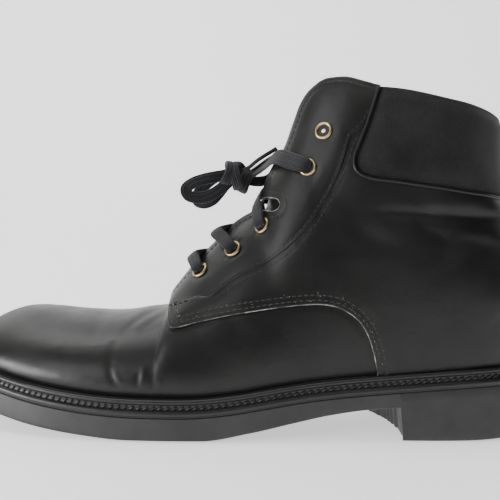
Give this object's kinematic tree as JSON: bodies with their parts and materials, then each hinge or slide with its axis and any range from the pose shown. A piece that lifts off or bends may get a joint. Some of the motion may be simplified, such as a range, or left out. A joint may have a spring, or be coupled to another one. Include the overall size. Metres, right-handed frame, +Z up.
{
  "type": "ankle boot",
  "caption": "Black leather lace-up ankle boot with open facings, padded suede collar, ribbed welt and low-heeled rubber sole.",
  "frame": {"origin": "on the floor, under the middle of the sole's length and width", "axes": "+Z up; toe towards -X, heel towards +X; the outer side of the foot towards -Y, the inner side towards +Y"},
  "size_m": [0.312, 0.1028, 0.1733],
  "materials": {
    "black_rubber": "satin moulded rubber",
    "insole_board": "dark matt sock lining",
    "black_leather": "smooth semi-gloss black leather with fine creases",
    "black_suede": "matt black suede over padding",
    "antique_brass": "antique brass",
    "black_lace": "flat woven black lace"
  },
  "bodies": {
    "root": {"outsole": "black_rubber", "welt": "black_rubber", "insole": "insole_board", "upper": "black_leather", "collar": "black_suede", "tongue": "black_leather", "eyelet_outer_1": "antique_brass", "eyelet_outer_2": "antique_brass", "eyelet_outer_3": "antique_brass", "eyelet_outer_4": "antique_brass", "eyelet_outer_5": "antique_brass", "eyelet_inner_1": "antique_brass", "eyelet_inner_2": "antique_brass", "eyelet_inner_3": "antique_brass", "eyelet_inner_4": "antique_brass", "eyelet_inner_5": "antique_brass", "lace_crossing_1": "black_lace", "lace_crossing_2": "black_lace", "lace_crossing_3": "black_lace", "lace_top_run": "black_lace", "lace_knot": "black_lace", "lace_loop_front": "black_lace", "lace_loop_back": "black_lace", "lace_end_front": "black_lace", "lace_end_back": "black_lace"}
  },
  "joints": []
}
